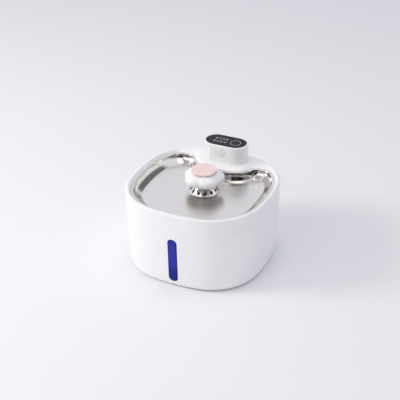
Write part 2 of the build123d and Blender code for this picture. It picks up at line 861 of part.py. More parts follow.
def module_base():
    base = prism(obround(module_radius), module_bottom, module_floor)
    base = fillet(base.edges().group_by(Axis.Z)[0], base_round)
    plug = obround(module_radius - module_wall - fit_gap) - obround(module_radius - 2 * module_wall)
    base += prism(plug, module_floor, module_floor + base_plug)
    groove = obround(module_radius - module_wall) - obround(module_radius - module_wall - 2 * seal_bead)
    middle = module_floor + base_plug / 2
    base -= prism(groove, middle - seal_bead, middle + seal_bead)
    for x in screw_places():
        base += spindle(screw_post_radius, module_floor, frame_bottom, x, tower_y)
        base -= spindle(screw_radius + fit_gap, module_bottom, frame_bottom, x, tower_y)
        sink = module_bottom + screw_sink + screw_head
        base -= spindle(screw_head_radius + fit_gap, module_bottom, sink, x, tower_y)
    return base - spindle(socket_radius + fit_gap, module_bottom, module_floor + 1, pump_x, tower_y)


def screw_places():
    reach = tower_straight / 2 + screw_reach
    return (-reach, reach)


def base_seal():
    middle = module_floor + base_plug / 2
    outer = module_radius - module_wall
    ring = obround(outer) - obround(outer - 2 * seal_bead)
    return prism(ring, middle - seal_bead, middle + seal_bead)


def module_screws():
    screws = []
    for x in screw_places():
        face = module_bottom + screw_sink
        screw = spindle(screw_radius, face, frame_bottom + screw_grip, x, tower_y)
        screw += spindle(screw_head_radius, face, face + screw_head, x, tower_y)
        screws.append(screw - Pos(x, tower_y, face) * Box(slot_width, slot_length, screw_head))
    return Compound(children=screws)


def lead_socket():
    socket = spindle(socket_radius, module_bottom, socket_top(), pump_x, tower_y)
    bore = pin_radius + free_gap
    return socket - spindle(bore, module_bottom - 1, socket_top() - socket_roof, pump_x, tower_y)


def socket_top():
    return module_bottom + pin_length + socket_play + socket_roof


def cell_places():
    return (-cell_pitch, cell_pitch)


def battery_cells():
    cells = []
    for x in cell_places():
        cell = spindle(cell_radius, cell_bottom + cell_gap, cell_bottom + cell_length, x, tower_y)
        cells.append(chamfer(cell.edges().group_by(Axis.Z)[-1], cell_chamfer))
    return Compound(children=cells)


def battery_frame():
    # open cradle that holds the cells upright and carries the board on its roof
    low = frame_bottom
    high = board_height
    radius = module_radius - module_wall - frame_gap
    frame = prism(obround(radius), low, high)
    for x in cell_places():
        frame -= spindle(cell_radius + cell_gap, cell_bottom, high - frame_roof, x, tower_y)
    reach = tower_straight / 2 + frame_window
    front = tower_y - 2 * radius
    rear = tower_y + 2 * radius
    frame -= block(-reach, reach, front, rear, low + frame_band, high - frame_band)
    for x in screw_places():
        frame -= spindle(screw_radius, low - 1, low + screw_grip + fit_gap, x, tower_y)
    # relief for the lead socket under the cells
    return frame - spindle(socket_radius + fit_gap, low - 1, socket_top() + fit_gap, pump_x, tower_y)


def circuit_board():
    return prism(obround(tower_radius - tower_wall - board_margin), board_height, board_top())


def board_top():
    return board_height + board_thickness


def mark_places():
    # two rows of four marks on the display
    first = -tower_straight / 2 - mark_shift
    return [(first + index * mark_step, row) for index in range(mark_count) for row in (-mark_row, mark_row)]


def indicator_leds():
    lamp = Box(lamp_width, lamp_depth, lamp_height)
    height = board_top() + lamp_height / 2
    return Compound(children=[Pos(x, tower_y + row, height) * lamp for x, row in mark_places()])


def light_guide():
    # chimney block that keeps each light under its own mark
    low = board_top() + lamp_height + fit_gap
    high = panel_height - fit_gap
    middle = (mark_count - 1) * mark_step / 2 - tower_straight / 2 - mark_shift
    width = (mark_count - 1) * mark_step + guide_well_width + 2 * guide_wall
    depth = 2 * mark_row + guide_well_depth + 2 * guide_wall
    guide = Pos(middle, tower_y, (low + high) / 2) * Box(width, depth, high - low)
    well = Box(guide_well_width, guide_well_depth, 2 * (high - low))
    for x, row in mark_places():
        guide -= Pos(x, tower_y + row, (low + high) / 2) * well
    return guide


def touch_spring():
    # coil that joins the board to the touch mark under the panel
    low = board_top() + spring_wire
    height = panel_height - board_top() - 2 * spring_wire
    x = tower_straight / 2 + spring_shift
    path = Pos(x, tower_y, low) * Helix(pitch=height / spring_turns, height=height, radius=spring_radius)
    start = Plane(origin=path @ 0, z_dir=path % 0)
    return sweep(start * RegularPolygon(spring_wire, 6), path=path, is_frenet=True)


def display_panel():
    face = obround(tower_radius - panel_bezel - fit_gap)
    panel = prism(face, panel_height, panel_height + panel_thickness)
    return fillet(panel.edges().group_by(Axis.Z)[-1], panel_round)


def sensor_lens():
    # shallow dome on a flange, with a spigot in the hole behind it
    z = tower_top - lens_drop
    face = tower_y - tower_radius + lens_recess
    seat = face + lens_flange
    ball = 4 * lens_radius
    dome = Pos(0, face + ball - lens_rise, z) * Sphere(ball)
    dome += rod_y(lens_radius, face, seat, 0, z)
    lens = dome & rod_y(lens_radius, face - 2 * lens_rise, seat, 0, z)
    return lens + rod_y(lens_sight_radius - fit_gap, seat, seat + lens_spigot, 0, z)


def motion_sensor():
    front = tower_y - tower_radius + lens_recess + lens_flange + lens_spigot + lens_recess
    rear = tower_y - tower_radius + tower_wall + cell_slack
    return rod_y(can_radius, front, rear, 0, tower_top - lens_drop)


# ---------------------------------------------------------------- write the sub-parts

pieces = {
    "tank_shell": tank_shell,
    "level_window": level_window,
    "window_seal": window_seal,
    "rubber_feet": rubber_feet,
    "top_cover": top_cover,
    "drinking_tray": drinking_tray,
    "flower_cap": flower_cap,
    "flower_centre": flower_centre,
    "riser_tube": riser_tube,
    "filter_stand": filter_stand,
    "filter_case": filter_case,
    "filter_media": filter_media,
    "pump_housing": pump_housing,
    "pump_cover": pump_cover,
    "pump_light": pump_light,
    "impeller": impeller,
    "rotor_magnet": rotor_magnet,
    "rotor_shaft": rotor_shaft,
    "shaft_bushes": shaft_bushes,
    "intake_sponge": intake_sponge,
    "suction_cups": suction_cups,
    "pump_lead": pump_lead,
    "lead_gland": lead_gland,
    "lead_plug": lead_plug,
    "module_shell": module_shell,
    "module_base": module_base,
    "base_seal": base_seal,
    "module_screws": module_screws,
    "lead_socket": lead_socket,
    "battery_frame": battery_frame,
    "battery_cells": battery_cells,
    "circuit_board": circuit_board,
    "indicator_leds": indicator_leds,
    "light_guide": light_guide,
    "touch_spring": touch_spring,
    "display_panel": display_panel,
    "sensor_lens": sensor_lens,
    "motion_sensor": motion_sensor,
    "usb_port": usb_port,
    "port_flap": port_flap,
}

os.makedirs("parts", exist_ok=True)
for name, make in pieces.items():
    export_step(make(), os.path.join("parts", name + ".step"))
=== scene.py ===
import json
import math

import bmesh
import bpy
from mathutils import Matrix, Vector


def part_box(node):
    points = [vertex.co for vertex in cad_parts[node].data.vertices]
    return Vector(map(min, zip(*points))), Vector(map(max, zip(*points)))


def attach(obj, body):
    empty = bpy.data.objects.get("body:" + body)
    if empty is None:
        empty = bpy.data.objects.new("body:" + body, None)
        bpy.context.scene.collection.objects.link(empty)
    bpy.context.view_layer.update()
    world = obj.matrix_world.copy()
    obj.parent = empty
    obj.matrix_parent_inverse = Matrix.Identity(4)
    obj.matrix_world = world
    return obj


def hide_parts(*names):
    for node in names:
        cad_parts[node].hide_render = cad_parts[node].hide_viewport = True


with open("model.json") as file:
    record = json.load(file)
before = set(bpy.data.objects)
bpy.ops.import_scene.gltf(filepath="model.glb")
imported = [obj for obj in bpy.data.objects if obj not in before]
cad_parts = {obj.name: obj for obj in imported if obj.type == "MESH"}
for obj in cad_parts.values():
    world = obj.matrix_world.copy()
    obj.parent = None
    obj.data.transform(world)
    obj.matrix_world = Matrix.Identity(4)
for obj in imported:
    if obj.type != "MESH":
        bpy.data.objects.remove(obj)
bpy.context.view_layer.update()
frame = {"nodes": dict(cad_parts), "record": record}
print("frame loaded:", len(frame["nodes"]), "nodes")

mm = 0.001
full = 2 * math.pi
weldGap = 1e-6              # points closer than this are merged
sharpAngle = 32             # degrees; edges that bend more stay crisp
sheet = 0.8 * mm            # the tray's steel


# places read from the frame

def top(node):
    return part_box(node)[1]


def bottom(node):
    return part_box(node)[0]


halfWidth = top("top_cover")[0]
seamZ = top("tank_shell")[2]
deckZ = top("top_cover")[2]
towerTop = top("module_shell")[2]
towerRadius = (top("module_shell")[1] - bottom("module_shell")[1]) / 2
towerY = (top("module_shell")[1] + bottom("module_shell")[1]) / 2
towerEnd = top("module_shell")[0] - towerRadius      # middle of the tower to an end's centre
lipZ = top("drinking_tray")[2]
flowerY = (top("riser_tube")[1] + bottom("riser_tube")[1]) / 2


# materials

def toLinear(hexCode):
    channels = [int(hexCode[i:i + 2], 16) / 255 for i in (1, 3, 5)]
    linear = [c / 12.92 if c <= 0.04045 else ((c + 0.055) / 1.055) ** 2.4 for c in channels]
    return (*linear, 1.0)


def addNode(tree, kind, settings=None, links=None):
    # one node, its settings and what feeds it
    node = tree.nodes.new(kind)
    for key, value in (settings or {}).items():
        if isinstance(key, int) or key in node.inputs:
            node.inputs[key].default_value = value
        else:
            setattr(node, key, value)
    for socket, source in (links or {}).items():
        tree.links.new(source, node.inputs[socket])
    return node


def newMaterial(name, base, roughness, shader=None):
    material = bpy.data.materials.new(name)
    material.use_nodes = True
    surface = material.node_tree.nodes["Principled BSDF"]
    surface.inputs["Base Color"].default_value = toLinear(base)
    surface.inputs["Roughness"].default_value = roughness
    for key, value in (shader or {}).items():
        surface.inputs[key].default_value = value
    return material, material.node_tree, surface


def grain(tree, surface, size, low, high, bump, detail=3.0, stretch=(1, 1, 1)):
    # roughness that wanders between two values, and a bump of the same grain; size in metres
    place = addNode(tree, "ShaderNodeTexCoord")
    scale = addNode(tree, "ShaderNodeMapping", {"Scale": stretch}, {"Vector": place.outputs["Object"]})
    noise = addNode(tree, "ShaderNodeTexNoise", {"Scale": 1 / size, "Detail": detail},
                    {"Vector": scale.outputs["Vector"]})
    spread = addNode(tree, "ShaderNodeMapRange", {"To Min": low, "To Max": high},
                     {"Value": noise.outputs["Fac"]})
    tree.links.new(spread.outputs["Result"], surface.inputs["Roughness"])
    if bump:
        relief = addNode(tree, "ShaderNodeBump", {"Strength": 0.25, "Distance": bump},
                         {"Height": noise.outputs["Fac"]})
        tree.links.new(relief.outputs["Normal"], surface.inputs["Normal"])
    return noise


def mottle(tree, surface, noise, first, second):
    # colour that wanders between two close tones
    ramp = addNode(tree, "ShaderNodeValToRGB", {}, {"Fac": noise.outputs["Fac"]})
    for element, position, tone in zip(ramp.color_ramp.elements, (0.35, 0.65), (first, second)):
        element.position = position
        element.color = toLinear(tone)
    tree.links.new(ramp.outputs["Color"], surface.inputs["Base Color"])


def makeGlossAbs():
    # injection-moulded ABS, mould-polished: a clean even white with a soft sheen
    material, tree, surface = newMaterial("glossWhiteAbs", "#f7f7f8", 0.24, {"IOR": 1.54})
    noise = grain(tree, surface, 22 * mm, 0.22, 0.28, 0, detail=2.0)
    mottle(tree, surface, noise, "#f7f7f8", "#f9f9fa")
    return material


def makePinkAbs():
    # tinted ABS with a finer, slightly duller mould finish: a soft even blush
    material, tree, surface = newMaterial("blushPinkAbs", "#f7dedc", 0.36, {"IOR": 1.54})
    noise = grain(tree, surface, 5 * mm, 0.32, 0.42, 0.02 * mm)
    mottle(tree, surface, noise, "#f6dad8", "#f9e1df")
    return material


metal = {"Metallic": 1.0}


def makeSteel():
    # stamped 304 stainless: drawn walls near mirror, floor buffed fore and aft to a soft blur;
    # the buffing lines are drawn 0.6 mm apart, coarser than real, so that they show
    material, tree, surface = newMaterial("buffedStainless", "#dad7d3", 0.1, metal)
    grain(tree, surface, 0.6 * mm, 0.05, 0.15, 0.002 * mm, detail=2.0, stretch=(1, 0.03, 1))
    floorZ = bottom("drinking_tray")[2] + sheet
    place = addNode(tree, "ShaderNodeTexCoord")
    split = addNode(tree, "ShaderNodeSeparateXYZ", {}, {"Vector": place.outputs["Object"]})
    blur = addNode(tree, "ShaderNodeMapRange",
                   {"From Min": floorZ + 0.15 * mm, "From Max": floorZ + 0.9 * mm,
                    "To Min": 0.14, "To Max": 0.0},
                   {"Value": split.outputs["Z"]})
    spread = surface.inputs["Roughness"].links[0].from_socket
    total = addNode(tree, "ShaderNodeMath", {"operation": "ADD"},
                    {0: spread, 1: blur.outputs["Result"]})
    tree.links.new(total.outputs["Value"], surface.inputs["Roughness"])
    return material


def makePanelGlass():
    # black-backed acrylic with a hard coat: deep black under a sharp highlight
    material, tree, surface = newMaterial("blackAcrylic", "#0f0f16", 0.08,
                                          {"IOR": 1.49, "Specular IOR Level": 0.13})
    grain(tree, surface, 14 * mm, 0.06, 0.11, 0)
    return material


# painted glow of the lit water, standing in for the pump lamp's light
windowPaintedLight = {
    "colour": "#2b339e",
    "brightTo": 3.4 * mm,         # full glow to this far from the middle
    # from here out the glow is painted darker, as shade towards the sides
    "dimAt": 6 * mm,
    "dimLevel": 0.5,
    "foot": 8 * mm,
    "head": 68 * mm,
    # share of the height, level of the painted glow: the water is painted dim below the lamp and
    # bright above it
    "levels": ((0.0, 0.5), (0.32, 0.68), (0.35, 0.98), (0.75, 1.0), (1.0, 0.84)),
}


def makeWindowPaintedGlow():
    # clear acrylic over blue water, with the pump lamp's light painted in as glow: saturated in the
    # middle, painted shade at its edges and foot
    glow = windowPaintedLight
    material, tree, surface = newMaterial("blueAcrylicPaintedGlow", "#060b38", 0.16,
                                          {"IOR": 1.49, "Specular IOR Level": 0.12,
                                           "Emission Strength": 1.0})
    place = addNode(tree, "ShaderNodeTexCoord")
    split = addNode(tree, "ShaderNodeSeparateXYZ", {}, {"Vector": place.outputs["Object"]})
    # painted shade towards the sides, times the painted glow by height
    across = addNode(tree, "ShaderNodeMath", {"operation": "ABSOLUTE"}, {0: split.outputs["X"]})
    side = addNode(tree, "ShaderNodeMapRange",
                   {"From Min": glow["brightTo"], "From Max": glow["dimAt"],
                    "To Min": 1.0, "To Max": glow["dimLevel"]},
                   {"Value": across.outputs["Value"]})
    share = addNode(tree, "ShaderNodeMapRange", {"From Min": glow["foot"], "From Max": glow["head"]},
                    {"Value": split.outputs["Z"]})
    height = addNode(tree, "ShaderNodeValToRGB", {}, {"Fac": share.outputs["Result"]})
    elements = height.color_ramp.elements
    for index, (position, level) in enumerate(glow["levels"]):
        element = elements[index] if index < 2 else elements.new(position)
        element.position = position
        element.color = (level, level, level, 1)
    lit = addNode(tree, "ShaderNodeMath", {"operation": "MULTIPLY"},
                  {0: side.outputs["Result"], 1: height.outputs["Color"]})
    tint = addNode(tree, "ShaderNodeVectorMath",
                   {"operation": "SCALE", 0: toLinear(glow["colour"])[:3]},
                   {"Scale": lit.outputs["Value"]})
    tree.links.new(tint.outputs["Vector"], surface.inputs["Emission Color"])
    return material


def makeMarkLight():
    # screen-printed marks on the panel, lit from behind: a soft grey glow
    return newMaterial("litPrintGrey", "#a4a4ae", 0.4,
                       {"Emission Color": toLinear("#9a9aa6"), "Emission Strength": 0.35})[0]


def makePlain(name, base, roughness, size=8 * mm, bump=0.02 * mm, shader=None):
    # small parts: even colour under a light grain
    material, tree, surface = newMaterial(name, base, roughness, shader)
    grain(tree, surface, size, roughness * 0.85, min(1.0, roughness * 1.15), bump)
    return material


def makeFibre():
    # needled cotton pad: matt, with a loose fibrous relief
    material, tree, surface = newMaterial("needledCotton", "#e4e8e6", 0.95)
    noise = grain(tree, surface, 1.2 * mm, 0.9, 1.0, 0.5 * mm, detail=6.0)
    mottle(tree, surface, noise, "#d5dad8", "#eef1ef")
    return material


def makeFoam():
    # open-cell polyurethane foam: dark pits, drawn coarser than real so that they show
    material, tree, surface = newMaterial("openCellFoam", "#26272b", 0.95)
    place = addNode(tree, "ShaderNodeTexCoord")
    cells = addNode(tree, "ShaderNodeTexVoronoi", {"Scale": 1 / (1.1 * mm)},
                    {"Vector": place.outputs["Object"]})
    relief = addNode(tree, "ShaderNodeBump", {"Strength": 0.9, "Distance": 0.6 * mm},
                     {"Height": cells.outputs["Distance"]})
    tree.links.new(relief.outputs["Normal"], surface.inputs["Normal"])
    return material


def makeBoard():
    # glass-epoxy board under green solder mask: glossy, slightly uneven
    material, tree, surface = newMaterial("solderMaskGreen", "#14482c", 0.35)
    noise = grain(tree, surface, 2 * mm, 0.3, 0.45, 0.02 * mm)
    mottle(tree, surface, noise, "#123f27", "#1a5233")
    return material


glossAbs = makeGlossAbs()
pinkAbs = makePinkAbs()
steel = makeSteel()
panelGlass = makePanelGlass()
windowPaintedGlow = makeWindowPaintedGlow()
markLight = makeMarkLight()
fibre = makeFibre()
foam = makeFoam()
board = makeBoard()

# moulded polypropylene and polyethylene: satin, softer than the housing; silicone: cloudy and dull
satinPp = makePlain("satinPolypropylene", "#e9eaec", 0.45)
milkyLens = makePlain("milkyPolyethylene", "#ebebf1", 0.4, size=12 * mm)
silicone = makePlain("milkySilicone", "#d6d9dc", 0.6)
flapRubber = makePlain("flapSilicone", "#e2e2e4", 0.55)
footRubber = makePlain("greyFootRubber", "#8d9096", 0.75)
# extruded vinyl: a clear tube and the lead's dull black jacket; shrink wrap, drawn tight and shiny
clearTube = makePlain("clearTubing", "#dfe6ea", 0.12, bump=0, shader={"Alpha": 0.55})
leadJacket = makePlain("leadJacket", "#1d1e21", 0.5)
cellWrap = makePlain("cellShrinkWrap", "#1f7a5e", 0.25, size=20 * mm)
# moulded nylon, dark on the potted pump and white on the rotor; coated ferrite; ground zirconia
pottedGrey = makePlain("pottedPumpGrey", "#2a2c31", 0.42)
rotorWhite = makePlain("rotorNylon", "#e6e5e0", 0.4)
ferrite = makePlain("coatedFerrite", "#1b1b1e", 0.5)
ceramic = makePlain("groundCeramic", "#efece2", 0.18, bump=0)
# lamp lenses and guide: clear and glossy, or a diffusing white
lampBlue = makePlain("blueLampLens", "#3a55e8", 0.15, bump=0)
lampAmber = makePlain("lampChip", "#f3eecb", 0.3, bump=0)
guideWhite = makePlain("lightGuideWhite", "#ececec", 0.5)
# bright metals: drawn wire with a sheen, a plated can a little duller
drawnWire = makePlain("drawnSpringWire", "#c9c9cc", 0.2, shader=metal)
sensorCan = makePlain("platedCan", "#a5a6aa", 0.25, shader=metal)
print("materials made")


# drawing outlines and skinning between them

def arc(x, y, radius, start, sweep, steps):
    return {"x": x, "y": y, "radius": radius, "start": start, "sweep": sweep, "steps": steps}


def run(x, y, steps=1):
    return {"toX": x, "toY": y, "steps": steps}


def drawHalf(bm, path, height):
    # the right half of an outline, spun arc by arc and extruded along its straight runs
    first = path[0]
    if "radius" in first:
        startX = first["x"] + first["radius"] * math.cos(first["start"])
        startY = first["y"] + first["radius"] * math.sin(first["start"])
    else:
        startX, startY = 0.0, first["toY"]
    vert = bm.verts.new((startX, startY, height))
    for piece in path:
        if "radius" in piece:
            spun = bmesh.ops.spin(bm, geom=[vert], cent=(piece["x"], piece["y"], height),
                                  axis=(0, 0, 1), angle=piece["sweep"], steps=piece["steps"],
                                  use_duplicate=False)
            vert = [item for item in spun["geom_last"] if isinstance(item, bmesh.types.BMVert)][0]
        else:
            step = (Vector((piece["toX"], piece["toY"], height)) - vert.co) / piece["steps"]
            for _ in range(piece["steps"]):
                vert = bmesh.ops.extrude_vert_indiv(bm, verts=[vert])["verts"][0]
                vert.co += step


def drawLoop(bm, path, height):
    # a closed outline, mirrored about the middle plane; returns its edges
    half = bmesh.new()
    drawHalf(half, path, height)
    bmesh.ops.mirror(half, geom=half.verts[:] + half.edges[:], matrix=Matrix(), axis="X",
                     merge_dist=weldGap / 10)
    bmesh.ops.remove_doubles(half, verts=half.verts[:], dist=weldGap)
    scratch = bpy.data.meshes.new("outline")
    half.to_mesh(scratch)
    half.free()
    known = set(bm.edges)
    bm.from_mesh(scratch)
    bpy.data.meshes.remove(scratch)
    return [edge for edge in bm.edges if edge not in known]


def drawCircle(bm, radius, height, segments=96, y=flowerY, reshape=None):
    # a circle, or what reshape makes of it; returns its edges
    centre = Vector((0, y, height))
    made = bmesh.ops.create_circle(bm, segments=segments, radius=radius,
                                   matrix=Matrix.Translation(centre))
    if reshape:
        for vert in made["verts"]:
            away = vert.co - centre
            vert.co = centre + away.normalized() * reshape(math.atan2(away.y, away.x))
    return list({edge for vert in made["verts"] for edge in vert.link_edges})


def join(bm, lower, upper):
    # the loops stand apart while they are bridged, so that flat rings pair up too
    apart = 0.05
    lifted = list({vert for edge in upper for vert in edge.verts})
    bmesh.ops.translate(bm, verts=lifted, vec=(0, 0, apart))
    bmesh.ops.bridge_loops(bm, edges=lower + upper)
    bmesh.ops.translate(bm, verts=lifted, vec=(0, 0, -apart))


def skin(bm, loops, closed=False):
    for lower, upper in zip(loops, loops[1:]):
        join(bm, lower, upper)
    if closed:
        join(bm, loops[-1], loops[0])


def cap(bm, loop):
    bmesh.ops.edgeloop_fill(bm, edges=loop)


def finishMesh(name, bm, material, angle=sharpAngle):
    bmesh.ops.remove_doubles(bm, verts=bm.verts[:], dist=weldGap)
    bmesh.ops.recalc_face_normals(bm, faces=bm.faces[:])
    mesh = bpy.data.meshes.new(name)
    bm.to_mesh(mesh)
    bm.free()
    mesh.materials.append(material)
    mesh.shade_smooth()
    mesh.set_sharp_from_angle(angle=math.radians(angle))
    piece = bpy.data.objects.new(name, mesh)
    bpy.context.scene.collection.objects.link(piece)
    return piece


def cutAway(piece, cutter):
    # takes the cutter's form out of a piece for good
    modifier = piece.modifiers.new("cut", "BOOLEAN")
    modifier.operation = "DIFFERENCE"
    modifier.solver = "EXACT"
    modifier.object = cutter
    evaluated = piece.evaluated_get(bpy.context.evaluated_depsgraph_get())
    cut = bpy.data.meshes.new_from_object(evaluated)
    piece.modifiers.clear()
    old = piece.data
    piece.data = cut
    cut.name = piece.name
    bpy.data.meshes.remove(old)
    bpy.data.objects.remove(cutter)
    piece.data.set_sharp_from_angle(angle=math.radians(sharpAngle))


def weighNormals(piece):
    modifier = piece.modifiers.new("evenShading", "WEIGHTED_NORMAL")
    modifier.keep_sharp = True
    modifier.weight = 60


def quarter(count):
    # fractions of a quarter turn, both ends included
    return [math.pi / 2 * index / count for index in range(count + 1)]


# housing outlines

housing = {
    "crownRadius": 230 * mm,      # gentle curve of each side
    "cornerRadius": 71 * mm,
    "baseInset": 4 * mm,          # walls lean in at the foot
    "wall": 2.4 * mm,
    "footGap": bottom("tank_shell")[2],
    "floor": 2.5 * mm,
    "floorCove": 1 * mm,
    "bottomRound": 5 * mm,
    "seamRound": 0.5 * mm,
    "deckRound": 2.6 * mm,
}

trayForm = {
    "lipInset": 7.5 * mm,         # tray's edge, in from the outer wall
    "rearMargin": halfWidth - top("drinking_tray")[1] - 0.3 * mm,
    "lobeRadius": 12 * mm,        # corners beside the tower
    "heelRadius": 17 * mm,        # outer corners at the rear
    "skirtReach": 12 * mm,        # tray's edge, in front of the tower
    "ledgeWidth": 2.6 * mm,
    "gap": 0.3 * mm,
    "depth": 10.8 * mm,
    "bend": 1.6 * mm,             # lip over into the wall
    "kneeRun": 5.6 * mm,          # the wall curves in to here
    "kneeDrop": 6.6 * mm,
    "slope": math.radians(30),    # and is straight from there down
    "floorRound": 2 * mm,
    "rearShare": 0.8,             # the wall is steeper at the rear
    "skirtShare": 0.35,           # and round the tower
    "lobeFade": 0.6,              # how fast the corners tighten further in
    "heelFade": 0.3,
    "slopeRun": 3 * mm,           # white slope round the tray
    "slopeRunRear": 6 * mm,
}


def housingNumbers(inset):
    side = housing["crownRadius"] - inset
    corner = housing["cornerRadius"] - inset
    back = housing["crownRadius"] - halfWidth
    centre = (math.sqrt(2 * (side - corner) ** 2 - back ** 2) - back) / 2
    return side, corner, back, centre, math.atan2(centre, centre + back)


def frontPath(inset):
    # the housing's outline from the middle of the front to the end of the side
    side, corner, back, centre, angle = housingNumbers(inset)
    return [
        arc(0, back, side, -math.pi / 2, angle, 10),
        arc(centre, -centre, corner, -math.pi / 2 + angle, math.pi / 2 - 2 * angle, 22),
        arc(-back, 0, side, -angle, 2 * angle, 20),
    ]


def housingPath(inset):
    side, corner, back, centre, angle = housingNumbers(inset)
    return frontPath(inset) + [
        arc(centre, centre, corner, angle, math.pi / 2 - 2 * angle, 22),
        arc(0, -back, side, math.pi / 2 - angle, angle, 10),
    ]


def basinPath(inset, rear, skirt, lobe, heel):
    # the housing's outline, cut off at the rear and round the tower
    _, corner, _, centre, angle = housingNumbers(inset)
    rearY = halfWidth - rear
    reach = towerRadius + skirt
    heelX = centre + math.sqrt((corner - heel) ** 2 - (rearY - heel - centre) ** 2)
    heelAngle = math.atan2(rearY - heel - centre, heelX - centre)
    lobeX = towerEnd + math.sqrt((reach + lobe) ** 2 - (towerY - rearY + lobe) ** 2)
    lobeEnd = math.atan2(towerY - rearY + lobe, towerEnd - lobeX)
    return frontPath(inset) + [
        arc(centre, centre, corner, angle, heelAngle - angle, 12),
        arc(heelX, rearY - heel, heel, heelAngle, math.pi / 2 - heelAngle, 12),
        run(lobeX, rearY, 2),
        arc(lobeX, rearY - lobe, lobe, math.pi / 2, lobeEnd - math.pi / 2, 16),
        arc(towerEnd, towerY, reach, lobeEnd - math.pi, math.pi / 2 - lobeEnd, 16),
        run(0, towerY - reach, 5),
    ]


def trayPath(inset, wallRun=0.0):
    form = trayForm
    edge = form["lipInset"]
    lobe = form["lobeRadius"] * edge / (edge + form["lobeFade"] * (inset + wallRun))
    heel = form["heelRadius"] * edge / (edge + form["heelFade"] * (inset + wallRun))
    rear = form["rearMargin"] + inset + form["rearShare"] * wallRun
    skirt = form["skirtReach"] + inset + form["skirtShare"] * wallRun
    return basinPath(edge + inset + wallRun, rear, skirt, lobe, heel)


def slopePath(share):
    # the white slope round the tray: share 0 at the tray's edge, 1 at the deck
    form = trayForm
    side = form["lipInset"] - share * form["slopeRun"]
    rear = form["rearMargin"] - share * form["slopeRunRear"]
    skirt = form["skirtReach"] - share * form["slopeRunRear"]
    return basinPath(side, rear, skirt, form["lobeRadius"], form["heelRadius"])


def towerPath(radius):
    return [
        run(0, towerY - radius),
        run(towerEnd, towerY - radius, 4),
        arc(towerEnd, towerY, radius, -math.pi / 2, math.pi, 40),
        run(0, towerY + radius, 4),
    ]


def lean(height):
    return housing["baseInset"] * (seamZ - height) / (seamZ - housing["footGap"])


# tank

opening = {
    "lip": 2.8 * mm,              # how far the tank's edge laps over the window's sides
    "foot": 3 * mm,               # and over its ends
    "lift": 1 * mm,               # opening's middle, above the window's
    "round": 0.46,                # corners, as a share of the width
    "cutDepth": 30 * mm,
}


def roundedCutter(name, width, height, depth, radius, centre):
    # a rounded plate standing in the XZ plane, to cut openings with
    bm = bmesh.new()
    bmesh.ops.create_cube(bm, size=1.0, matrix=Matrix.Diagonal((width, depth, height, 1)))
    upright = [edge for edge in bm.edges
               if abs((edge.verts[0].co - edge.verts[1].co).normalized().y) > 0.9]
    bmesh.ops.bevel(bm, geom=upright, offset=radius, offset_type="OFFSET", segments=10, profile=0.5,
                    affect="EDGES", material=-1)
    bmesh.ops.translate(bm, verts=bm.verts[:], vec=centre)
    return finishMesh(name, bm, glossAbs)


def makeTank():
    wall = housing["wall"]
    foot = housing["footGap"]
    straight = foot + housing["bottomRound"]
    bm = bmesh.new()
    loops = []
    for turn in quarter(7):
        inset = housing["bottomRound"] * (1 - math.sin(turn))
        z = foot + housing["bottomRound"] * (1 - math.cos(turn))
        loops.append(drawLoop(bm, housingPath(lean(z) + inset), z))
    for share in (0.12, 0.3, 0.5, 0.7, 0.88):
        z = straight + share * (seamZ - straight)
        loops.append(drawLoop(bm, housingPath(lean(z)), z))
    for turn in quarter(4):
        inset = housing["seamRound"] * (1 - math.cos(turn))
        z = seamZ - housing["seamRound"] * (1 - math.sin(turn))
        loops.append(drawLoop(bm, housingPath(inset), z))
    # over the rim and down the inside to the floor
    floorTop = foot + housing["floor"]
    loops.append(drawLoop(bm, housingPath(wall), seamZ))
    for share in (0.02, 0.35, 0.65, 0.98):
        z = seamZ + share * (floorTop - seamZ)
        loops.append(drawLoop(bm, housingPath(wall + lean(z)), z))
    loops.append(drawLoop(bm, housingPath(wall + lean(floorTop) + housing["floorCove"]), floorTop))
    skin(bm, loops)
    cap(bm, loops[0])
    cap(bm, loops[-1])
    tank = finishMesh("tankShell", bm, glossAbs)
    low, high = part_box("level_window")
    width = high[0] - low[0] - 2 * opening["lip"]
    height = high[2] - low[2] - 2 * opening["foot"]
    centre = (0, -halfWidth, (high[2] + low[2]) / 2 + opening["lift"])
    cutAway(tank, roundedCutter("windowCutter", width, height, opening["cutDepth"],
                                opening["round"] * width, centre))
    weighNormals(tank)
    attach(tank, "tank")
    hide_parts("tank_shell")


# top cover

coverForm = {
    "slopeSoft": 0.07,            # share of the slope that eases into deck and edge
    "ledgeThick": 2 * mm,
    "wellInset": 3.2 * mm,        # well that the module hangs in, inside the tower's outline
    "wellBelow": 10 * mm,
    "wellAbove": 5 * mm,
}


